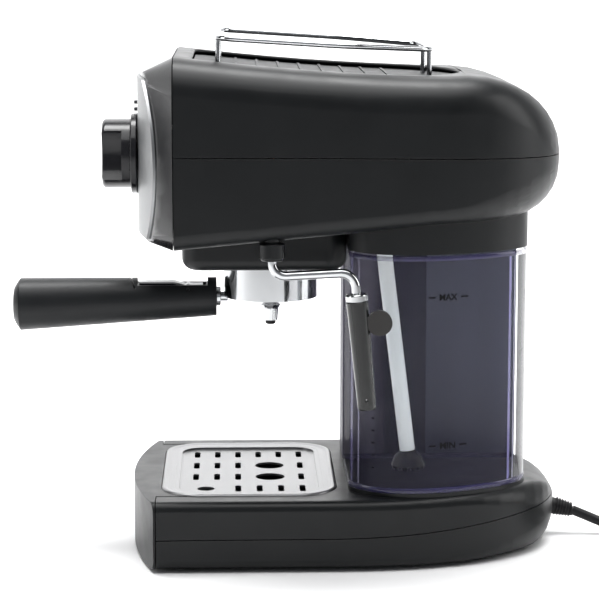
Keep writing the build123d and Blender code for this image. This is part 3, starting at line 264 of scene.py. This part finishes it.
def clear(name, colour, roughness, alpha):
    """Transparent plastic, drawn as thin tinted walls: each surface hides its alpha of what is behind."""
    material, tree, shader = new_material(name)
    cloudy = noise_field(tree, 25.0, 3.0)
    lighter = tuple(min(1.0, c * 1.2) for c in colour)
    tree.links.new(tint(tree, cloudy, colour, lighter), shader.inputs["Base Color"])
    tree.links.new(remap(tree, noise_field(tree, 90.0, 4.0), roughness * 0.8, roughness * 1.3),
                   shader.inputs["Roughness"])
    shader.inputs["Alpha"].default_value = alpha
    shader.inputs["Coat Weight"].default_value = 0.3
    shader.inputs["Coat Roughness"].default_value = 0.05
    return material


def stepped(tree, axis, edge, soft):
    """Rises from 0 to 1 where the machine's own coordinate passes the edge."""
    coordinates = tree.nodes.new("ShaderNodeTexCoord")
    split = tree.nodes.new("ShaderNodeSeparateXYZ")
    tree.links.new(coordinates.outputs["Object"], split.inputs["Vector"])
    node = tree.nodes.new("ShaderNodeMapRange")
    node.inputs["From Min"].default_value = edge - soft
    node.inputs["From Max"].default_value = edge + soft
    tree.links.new(split.outputs[axis], node.inputs["Value"])
    return node.outputs["Result"]


# the column housing's painted light and shade along the machine: painted light on the front corner, painted
# shade in the middle, painted light on the rear panel
WALL_FRONT_PAINTED_LIGHT = (0.125, 0.118, 0.155)
WALL_MIDDLE_PAINTED_SHADE = (0.002, 0.006, 0.010)
WALL_REAR_PAINTED_LIGHT = (0.085, 0.095, 0.125)
# Y and half-width in metres of each change, and the colour behind it
WALL_PAINTED_SHADE_CHANGES = ((0.0608, 0.0045, WALL_MIDDLE_PAINTED_SHADE), (0.0897, 0.0006, WALL_REAR_PAINTED_LIGHT))
STREAK_STRETCH = (1.0, 1.0, 0.015)
STREAK_DARK = (0.55, 0.55, 0.58)
STREAK_LIGHT = (1.25, 1.25, 1.25)
BLACK = (0.0050, 0.0058, 0.0064)


def painted_light_and_shade_wall():
    """The column housing: painted light and shade that change along the machine, with faint upright
    streaks.
    """
    material, tree, shader = new_material("column_housing_painted_shade")
    cloudy = noise_field(tree, 22.0, 4.0)
    colour = tint(tree, cloudy, tuple(c * 0.92 for c in WALL_FRONT_PAINTED_LIGHT), WALL_FRONT_PAINTED_LIGHT)
    # each change steps to the next band of painted light or painted shade
    for edge, soft, following in WALL_PAINTED_SHADE_CHANGES:
        node = tree.nodes.new("ShaderNodeMix")
        node.data_type = "RGBA"
        tree.links.new(colour, node.inputs["A"])
        node.inputs["B"].default_value = (*following, 1)
        tree.links.new(stepped(tree, "Y", edge, soft), node.inputs["Factor"])
        colour = node.outputs["Result"]
    streaks = tint(tree, noise_field(tree, 70.0, 3.0, STREAK_STRETCH), STREAK_DARK, STREAK_LIGHT)
    shaded = tree.nodes.new("ShaderNodeMix")
    shaded.data_type = "RGBA"
    shaded.blend_type = "MULTIPLY"
    shaded.inputs["Factor"].default_value = 1.0
    tree.links.new(colour, shaded.inputs["A"])
    tree.links.new(streaks, shaded.inputs["B"])
    tree.links.new(shaded.outputs["Result"], shader.inputs["Base Color"])
    tree.links.new(remap(tree, noise_field(tree, 60.0, 5.0), 0.42, 0.52), shader.inputs["Roughness"])
    shader.inputs["Specular IOR Level"].default_value = WALL_SPECULAR
    return material


ACROSS = (1.0, 40.0, 40.0)  # stretch of scratches that run across the machine


def make_materials():
    """One material for each of the record's material slots."""
    return {
        "black_plastic": moulded("satin_black_plastic", BLACK, 0.36),
        "gloss_black": moulded("gloss_black_plastic", (0.004, 0.004, 0.005), 0.16, grain=0.02,
                               coat=0.08),
        "dark_grey": moulded("grained_black_plastic", (0.014, 0.015, 0.016), 0.46, grain=0.5,
                             grain_scale=900.0),
        "bright_metal": polished("bright_metal", (0.56, 0.57, 0.58), 0.10),
        "satin_metal": brushed("satin_metal", (0.42, 0.425, 0.43), 0.36, ACROSS),
        "aluminium": brushed("cast_aluminium", (0.60, 0.61, 0.62), 0.45, (1.0, 1.0, 3.0)),
        "brass": polished("brass", (0.66, 0.47, 0.20), 0.25),
        "copper": polished("copper", (0.72, 0.36, 0.22), 0.22),
        "rubber": moulded("black_rubber", (0.012, 0.012, 0.012), 0.7, grain=0.5),
        "red_rubber": moulded("red_silicone", (0.32, 0.05, 0.03), 0.55),
        "smoked_clear": clear("smoked_clear", (0.10, 0.095, 0.16), 0.10, 0.06),
        "hose_silicone": moulded("milky_silicone", (0.84, 0.93, 0.98), 0.30, grain=0.1, coat=0.2),
        "cord_rubber": moulded("cord_rubber", (0.010, 0.010, 0.011), 0.45, grain=0.4),
        "lamp_lens": moulded("lamp_lens", (0.02, 0.02, 0.025), 0.12, grain=0.02, coat=0.5),
    }


MATERIALS = make_materials()
SLOT_OF = {row["node"]: row["material_slot"] for row in frame["record"]["subparts"]}
SPECIAL = {
    "frother_sleeve": moulded("sleeve_plastic", (0.011, 0.012, 0.012), 0.22, coat=0.3),
    "frother_tab": moulded("tab_plastic", (0.034, 0.032, 0.031), 0.42, grain=0.35),
    "selector_knob": moulded("knob_plastic", (0.007, 0.007, 0.009), 0.26, coat=0.2),
    "knob_collar": moulded("collar_plastic", (0.007, 0.007, 0.009), 0.22, coat=0.2),
    "portafilter_handle": moulded("handle_plastic", (0.0085, 0.0095, 0.0105), 0.42),
    "front_plate": brushed("plate_metal", (0.30, 0.305, 0.31), 0.38, ACROSS),
    "drip_grille": brushed("grille_metal", (0.30, 0.30, 0.305), 0.34, ACROSS),
    "spout_tip": moulded("spout_tip_rubber", (0.008, 0.008, 0.008), 0.5),
    "retainer_pin": moulded("blackened_pin", (0.010, 0.010, 0.010), 0.4),
    # the column housing carries painted light and shade along its length
    "column_shell": painted_light_and_shade_wall(),
}


def material_of(name):
    return SPECIAL.get(name, MATERIALS[SLOT_OF[name]])


def dress_nodes():
    """Every carried-over node gets its own material."""
    for name, node in NODES.items():
        node.data.materials.clear()
        node.data.materials.append(material_of(name))


SHARP_ANGLE = math.radians(32.0)
FLAT_ANGLE = math.radians(0.6)
WELD_DISTANCE = 0.01 * MM
OTHER_EDGES_SHARE = 0.2


def mark_rim(work, is_rim):
    """Full rounding on the edges picked out by is_rim, a share of it on the other sharp edges."""
    layer = work.edges.layers.float.new("bevel_weight_edge")
    for edge in work.edges:
        if len(edge.link_faces) == 2 and edge.calc_face_angle(0.0) > SHARP_ANGLE:
            edge[layer] = 1.0 if is_rim(edge) else OTHER_EDGES_SHARE


def refine(name, bevel, segments=2, rim=None):
    """A finer copy that stands for a node: welded, its edges rounded, shaded smooth between them."""
    node = NODES[name]
    mesh = node.data.copy()
    piece = bpy.data.objects.new(name + "_fine", mesh)
    bpy.context.scene.collection.objects.link(piece)
    work = bmesh.new()
    work.from_mesh(mesh)
    bmesh.ops.remove_doubles(work, verts=work.verts, dist=WELD_DISTANCE)
    bmesh.ops.dissolve_limit(work, angle_limit=FLAT_ANGLE, verts=work.verts, edges=work.edges)
    if rim:
        mark_rim(work, rim)
    work.to_mesh(mesh)
    work.free()
    if "custom_normal" in mesh.attributes:
        mesh.attributes.remove(mesh.attributes["custom_normal"])
    for polygon in mesh.polygons:
        polygon.use_smooth = True
    if bevel:
        rounding = piece.modifiers.new("rounding", "BEVEL")
        rounding.width = bevel
        rounding.segments = segments
        rounding.limit_method = "WEIGHT" if rim else "ANGLE"
        rounding.angle_limit = SHARP_ANGLE
        rounding.harden_normals = False
        rounding.use_clamp_overlap = True
    mesh.set_sharp_from_angle(angle=SHARP_ANGLE)
    weighted = piece.modifiers.new("even_shading", "WEIGHTED_NORMAL")
    weighted.keep_sharp = True
    mesh.materials.clear()
    mesh.materials.append(material_of(name))
    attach(piece, node["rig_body"])
    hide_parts(name)
    return piece


# ---------------------------------------------------------------- mains cord
CORD_DIAMETER = 6.0 * MM
COIL_CENTRE = (20.5, 247.0)
COIL_RADIUS = 35.5
POINTS_PER_TURN = 14
CORD_LAY_Z = 3.7            # middle of a turn that lies on the floor
LANE_OFFSET = 3.0           # of a turn's middle from the coil's middle
LAYER_RISE = 5.9
LANE_CHANGE = 0.7           # share of a turn after which the cord moves to its next lane


def coil_points():
    """Four turns: two side by side on the floor, two on top of them."""
    outer, inner, upper = COIL_RADIUS + LANE_OFFSET, COIL_RADIUS - LANE_OFFSET, CORD_LAY_Z + LAYER_RISE
    lanes = ((outer, CORD_LAY_Z), (inner, CORD_LAY_Z), (inner, upper), (outer, upper))
    points = []
    for turn, (radius, height) in enumerate(lanes):
        after = lanes[min(turn + 1, len(lanes) - 1)]
        for k in range(POINTS_PER_TURN):
            share = k / POINTS_PER_TURN
            late = max(0.0, (share - LANE_CHANGE) / (1 - LANE_CHANGE))
            r = radius + (after[0] - radius) * late
            z = height + (after[1] - height) * late
            angle = math.pi - 2 * math.pi * share
            points.append((COIL_CENTRE[0] + r * math.cos(angle), COIL_CENTRE[1] + r * math.sin(angle), z))
    return points


def make_cord(pieces):
    """The whole mains cord: from its gland along the floor, round the coil and up to the plug."""
    approach = [(0.0, 182.0, 15.0), (1.0, 192.0, 11.0), (4.0, 202.0, 7.2), (5.0, 211.0, 5.2),
                (3.0, 220.0, 4.2), (-3.0, 228.0, 3.9), (-10.0, 235.0, 3.8)]
    lead = [(-14.0, 236.0, 19.0), (-12.0, 253.0, 26.0), (1.0, 263.5, 30.5), (16.0, 264.7, 31.6)]
    turns = coil_points()
    route = approach + turns[:-2] + lead
    curve = bpy.data.curves.new("mains_cord", "CURVE")
    curve.dimensions = "3D"
    spline = curve.splines.new("NURBS")
    spline.points.add(len(route) - 1)
    for point, place in zip(spline.points, route):
        point.co = (*[c * MM for c in place], 1.0)
    spline.order_u = 3
    spline.use_endpoint_u = True
    spline.resolution_u = 6
    curve.bevel_depth = CORD_DIAMETER / 2
    curve.bevel_resolution = 5
    curve.use_fill_caps = True
    cord = bpy.data.objects.new("mains_cord", curve)
    bpy.context.scene.collection.objects.link(cord)
    curve.materials.append(MATERIALS["cord_rubber"])
    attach(cord, "machine")
    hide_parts("power_cord", "plug_lead", "cord_coil")


GLAND_START = Vector((0, 170.0, 18.0)) * MM
GLAND_END = Vector((0, 182.0, 15.0)) * MM
GLAND_RADIUS = 5.3
GLAND_TAPER = 1.5
GLAND_RIBS = 6
RIB_PROUD = 0.25
RIB_RADIUS = 0.45


def make_gland_ribs():
    """Moulded rings round the tapered strain relief."""
    start, end = GLAND_START, GLAND_END
    turn = (end - start).to_track_quat("Z", "X").to_matrix().to_4x4()
    work = bmesh.new()
    around, across = 36, 8
    for rib in range(GLAND_RIBS):
        share = 0.12 + 0.15 * rib
        radius, thick = (GLAND_RADIUS - GLAND_TAPER * share + RIB_PROUD) * MM, RIB_RADIUS * MM
        place = Matrix.Translation(start.lerp(end, share)) @ turn
        rings = []
        for i in range(around):
            a = 2 * math.pi * i / around
            ring = []
            for j in range(across):
                b = 2 * math.pi * j / across
                r = radius + thick * math.cos(b)
                spot = Vector((r * math.cos(a), r * math.sin(a), thick * math.sin(b)))
                ring.append(work.verts.new(place @ spot))
            rings.append(ring)
        for i in range(around):
            for j in range(across):
                following, beside = (i + 1) % around, (j + 1) % across
                work.faces.new((rings[i][j], rings[following][j],
                                rings[following][beside], rings[i][beside]))
    return new_piece("gland_ribs", work, "machine", "cord_rubber")


def new_piece(name, work, body, slot, material=None):
    """Turns a bmesh into a smooth-shaded piece on a body."""
    bmesh.ops.recalc_face_normals(work, faces=work.faces)
    mesh = bpy.data.meshes.new(name)
    work.to_mesh(mesh)
    work.free()
    for polygon in mesh.polygons:
        polygon.use_smooth = True
    mesh.set_sharp_from_angle(angle=math.radians(50))
    mesh.materials.append(material or MATERIALS[slot])
    piece = bpy.data.objects.new(name, mesh)
    bpy.context.scene.collection.objects.link(piece)
    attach(piece, body)
    return piece


# ---------------------------------------------------------------- drip grille rim
GRILLE_CORNER = 24.0 * MM
SMALLEST_CORNER = 8.0 * MM
# inward from the plate's edge, and height over its top: rolled rim, flange, step down to the dish
GRILLE_PROFILE = ((0.0, -1.4), (0.0, 0.1), (0.5, 0.8), (1.5, 1.05), (2.6, 0.8), (3.6, 0.35), (5.0, 0.2),
                  (7.0, 0.15), (8.6, -0.1), (9.8, -0.8), (10.8, -1.3), (12.0, -1.46))


def rounded_outline(low, high, inset, corner):
    """Points round a rectangle with round corners, drawn in by the inset."""
    radius = max(corner - inset, SMALLEST_CORNER)
    x0, y0, x1, y1 = low[0] + inset, low[1] + inset, high[0] - inset, high[1] - inset
    centres = ((x1 - radius, y1 - radius, 0), (x0 + radius, y1 - radius, 90),
               (x0 + radius, y0 + radius, 180), (x1 - radius, y0 + radius, 270))
    steps = 12
    points = []
    for x, y, start in centres:
        for k in range(steps + 1):
            a = math.radians(start + 90 * k / steps)
            points.append((x + radius * math.cos(a), y + radius * math.sin(a)))
    return points


def ribbon(work, rows):
    """Quads between closed rows of points."""
    rings = [[work.verts.new(point) for point in row] for row in rows]
    for ring, following in zip(rings, rings[1:]):
        for i in range(len(ring)):
            j = (i + 1) % len(ring)
            work.faces.new((ring[i], ring[j], following[j], following[i]))


def make_grille_rim():
    """The grille's rolled edge, its flange and the step down to the dish."""
    low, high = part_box("drip_grille")
    work = bmesh.new()
    rows = []
    for inward, height in GRILLE_PROFILE:
        outline = rounded_outline(low, high, inward * MM, GRILLE_CORNER)
        rows.append([(x, y, high[2] + height * MM) for x, y in outline])
    ribbon(work, rows)
    return new_piece("grille_rolled_rim", work, "grille", "satin_metal", SPECIAL["drip_grille"])


# ---------------------------------------------------------------- tank marks and edges
def surface_of(name):
    """Tree for casting rays onto a node."""
    work = bmesh.new()
    work.from_mesh(NODES[name].data)
    tree = BVHTree.FromBMesh(work)
    work.free()
    return tree


TANK_SURFACE = surface_of("water_tank")
MARK_LIFT = 0.3 * MM
OUTSIDE_X = 0.3             # well clear of the machine's right side


def on_wall(y, z):
    """Point just outside the tank's right wall."""
    hit = TANK_SURFACE.ray_cast(Vector((OUTSIDE_X, y, z)), Vector((-1, 0, 0)))[0]
    return Vector((hit.x + MARK_LIFT, y, z))


def add_patch(work, y0, y1, z0, z1, columns=6):
    """Thin printed patch that follows the wall."""
    lower = [work.verts.new(on_wall(y0 + (y1 - y0) * k / columns, z0)) for k in range(columns + 1)]
    upper = [work.verts.new(on_wall(y0 + (y1 - y0) * k / columns, z1)) for k in range(columns + 1)]
    for k in range(columns):
        work.faces.new((lower[k], lower[k + 1], upper[k + 1], upper[k]))


WORD_BOLDNESS = 0.035
WORD_HEIGHT = 4.0
DASH_HALF_HEIGHT = 0.5
# word, height of its line, its own Y range, and the Y ranges of the dashes beside it
LEVELS = (("MAX", 163.6, (89.5, 100.5), ((83.0, 87.0), (102.5, 107.0))),
          ("MIN", 74.2, (90.5, 100.0), ((84.0, 88.0), (102.5, 107.0))))
TICK_COUNT = 7
TICK_FIRST_Z = 60.0
TICK_PITCH = 7.5
TICK_HEIGHT = 0.9
TICK_Y = (50.0, 51.6)


def printed_word(text, y0, y1, z0, z1):
    """Word laid on the wall, stretched to fill its field."""
    curve = bpy.data.curves.new(text, "FONT")
    curve.body = text
    curve.offset = WORD_BOLDNESS
    holder = bpy.data.objects.new(text, curve)
    mesh = bpy.data.meshes.new_from_object(holder)
    bpy.data.objects.remove(holder)
    xs = [v.co.x for v in mesh.vertices]
    ys = [v.co.y for v in mesh.vertices]
    work = bmesh.new()
    work.from_mesh(mesh)
    for vert in work.verts:
        across = (vert.co.x - min(xs)) / (max(xs) - min(xs))
        above = (vert.co.y - min(ys)) / (max(ys) - min(ys))
        vert.co = on_wall(y0 + (y1 - y0) * across, z0 + (z1 - z0) * above)
    return work


def make_tank_marks():
    """The two water levels and the short scale, printed on the tank's right wall."""
    ink = moulded("printing_ink", (0.001, 0.001, 0.002), 0.8)
    for text, height, word_y, dash_spots in LEVELS:
        word = printed_word(text, word_y[0] * MM, word_y[1] * MM,
                            (height - WORD_HEIGHT / 2) * MM, (height + WORD_HEIGHT / 2) * MM)
        new_piece("tank_" + text.lower(), word, "tank", "black_plastic", ink)
        dashes = bmesh.new()
        for y0, y1 in dash_spots:
            add_patch(dashes, y0 * MM, y1 * MM,
                      (height - DASH_HALF_HEIGHT) * MM, (height + DASH_HALF_HEIGHT) * MM)
        new_piece("tank_dashes_" + text.lower(), dashes, "tank", "black_plastic", ink)
    ticks = bmesh.new()
    for index in range(TICK_COUNT):
        z = (TICK_FIRST_Z + TICK_PITCH * index) * MM
        add_patch(ticks, TICK_Y[0] * MM, TICK_Y[1] * MM, z, z + TICK_HEIGHT * MM, 2)
    new_piece("tank_scale", ticks, "tank", "black_plastic", ink)


def tank_loop():
    """The tank's outline, from the corners of its underside, in order."""
    low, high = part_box("water_tank")
    spots = {(round(v.co.x, 5), round(v.co.y, 5)) for v in NODES["water_tank"].data.vertices
             if v.co.z < low[2] + 0.0001}
    middle = ((low[0] + high[0]) / 2, (low[1] + high[1]) / 2)
    return sorted(spots, key=lambda p: math.atan2(p[1] - middle[1], p[0] - middle[0]))


def grown(loop, amount):
    """The outline moved outward along its own normals."""
    points = []
    for index, here in enumerate(loop):
        before, after = loop[index - 1], loop[(index + 1) % len(loop)]
        along = Vector((after[0] - before[0], after[1] - before[1])).normalized()
        points.append((here[0] + along.y * amount, here[1] - along.x * amount))
    return points


def wall_point(side, y):
    """Point of the tank's right-hand outline at one Y; side is (Y, X) points in order of Y."""
    for (before_y, before_x), (after_y, after_x) in zip(side, side[1:]):
        if before_y <= y <= after_y and after_y > before_y:
            share = (y - before_y) / (after_y - before_y)
            return before_x + (after_x - before_x) * share, y
    return side[-1][1], y


FOOT_RIM = ((-0.2, -0.35), (0.35, -0.3), (0.45, 0.6), (0.45, 2.2), (0.1, 2.8))
TOP_RIM = ((0.1, -3.0), (0.3, -2.6), (0.3, -0.6), (-0.1, -0.2))
FOOT_RIM_HEIGHT = 2.9 * MM
TOP_RIM_HEIGHT = 3.1 * MM
BAND_LIFT = 0.25 * MM
BAND_STEPS = 6
RIGHT_WALL_X = 0.02         # the outline's points past this are on the tank's right


def make_tank_rims():
    """The thicker moulded rims round the tank's foot and top, tinted deeper than its walls."""
    low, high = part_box("water_tank")
    loop = tank_loop()
    deep = clear("smoked_edge", (0.045, 0.04, 0.12), 0.06, 0.55)
    for name, base, profile in (("tank_foot_rim", low[2], FOOT_RIM), ("tank_top_rim", high[2], TOP_RIM)):
        work = bmesh.new()
        ribbon(work, [[(x, y, base + height * MM) for x, y in grown(loop, out * MM)]
                      for out, height in profile])
        new_piece(name, work, "tank", "smoked_clear", deep)


def make_tank_band(name, material, start, end):
    """Upright band on the tank's right wall between two Y values, in millimetres."""
    low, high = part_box("water_tank")
    side = sorted((y, x) for x, y in grown(tank_loop(), BAND_LIFT) if x > RIGHT_WALL_X)
    foot, top = low[2] + FOOT_RIM_HEIGHT, high[2] - TOP_RIM_HEIGHT
    work = bmesh.new()
    spots = [wall_point(side, (start + (end - start) * k / BAND_STEPS) * MM) for k in range(BAND_STEPS + 1)]
    lower = [work.verts.new((x, y, foot)) for x, y in spots]
    upper = [work.verts.new((x, y, top)) for x, y in spots]
    for k in range(BAND_STEPS):
        work.faces.new((lower[k], lower[k + 1], upper[k + 1], upper[k]))
    new_piece(name, work, "tank", "smoked_clear", material)


def make_tank_bands():
    """The deep rear wall, the bright tinted upright lines where the wall turns at its corners, and a
    painted highlight beside each line.
    """
    make_tank_band("tank_rear_wall", clear("smoked_rear", (0.010, 0.012, 0.017), 0.22, 0.94), 139.0, 145.6)
    make_tank_band("tank_rear_line", clear("smoked_line", (0.34, 0.32, 0.62), 0.10, 0.45), 133.2, 134.8)
    # painted highlight: a pale strip standing for a glint on the rear corner
    make_tank_band("tank_rear_painted_glint", clear("smoked_painted_glint", (0.62, 0.62, 0.80), 0.10, 0.40), 136.6, 137.3)
    make_tank_band("tank_front_line", clear("smoked_corner", (0.16, 0.14, 0.34), 0.08, 0.45), 38.3, 39.4)
    # painted highlight: a pale strip standing for a glint on the front corner
    make_tank_band("tank_front_painted_glint", clear("smoked_front_painted_glint", (0.45, 0.42, 0.62), 0.08, 0.35), 42.2, 43.0)


# ---------------------------------------------------------------- making
DECK_MARGIN = 1.5 * MM
DECK_REACH_DOWN = 14 * MM
DECK_RIM_ROUNDING = 2.2 * MM


def deck_rim(edge):
    """Edges of the upper casing round the sunken cup deck."""
    deck_low, deck_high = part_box("cup_deck")
    middle = (edge.verts[0].co + edge.verts[1].co) / 2
    inside = (deck_low[0] - DECK_MARGIN < middle.x < deck_high[0] + DECK_MARGIN
              and deck_low[1] - DECK_MARGIN < middle.y < deck_high[1] + DECK_MARGIN)
    high_enough = middle.z > deck_high[2] - DECK_REACH_DOWN
    return inside and high_enough and edge.calc_face_angle(0.0) > math.radians(60)


# rounding in millimetres of each refined node's edges
FINE = {
    "lower_casing": 0.5, "base_cover": 0.7, "base_pan": 0.5, "drip_tray_front": 0.8, "front_bezel": 0.6,
    "front_plate": 0.25, "knob_collar": 0.6, "selector_knob": 1.0, "group_cover": 0.5,
    "portafilter_bowl": 0.5, "portafilter_spout": 0.3, "spout_tip": 0.25, "portafilter_handle": 0.7,
    "handle_cap": 0.4, "basket_retainer": 0.25, "handle_stud": 0.25, "wand_socket": 0.5,
    "frother_sleeve": 0.35, "frother_tab": 0.6, "wand_collar": 0.3, "steam_wand": 0.0, "cup_rail": 0.0,
    "cup_deck": 0.35, "drip_grille": 0.35, "column_shell": 0.6, "water_tank": 0.6, "rubber_feet": 0.6,
    "intake_hose": 0.2, "intake_strainer": 0.35, "drip_tray": 0.5, "filter_basket": 0.1, "group_head": 0.3,
    "indicator_lamps": 0.3, "cord_gland": 0.3, "plug_body": 0.8, "plug_pins": 0.5, "cord_tie": 0.4,
}

make_camera()
make_world()
make_floor()
make_light()
dress_nodes()
refine("upper_casing", DECK_RIM_ROUNDING, segments=4, rim=deck_rim)
fine = {name: refine(name, width * MM) for name, width in FINE.items()}
make_cord([fine["plug_body"], fine["plug_pins"], fine["cord_tie"], fine["cord_gland"],
           make_gland_ribs()])
make_grille_rim()
make_tank_marks()
make_tank_rims()
make_tank_bands()
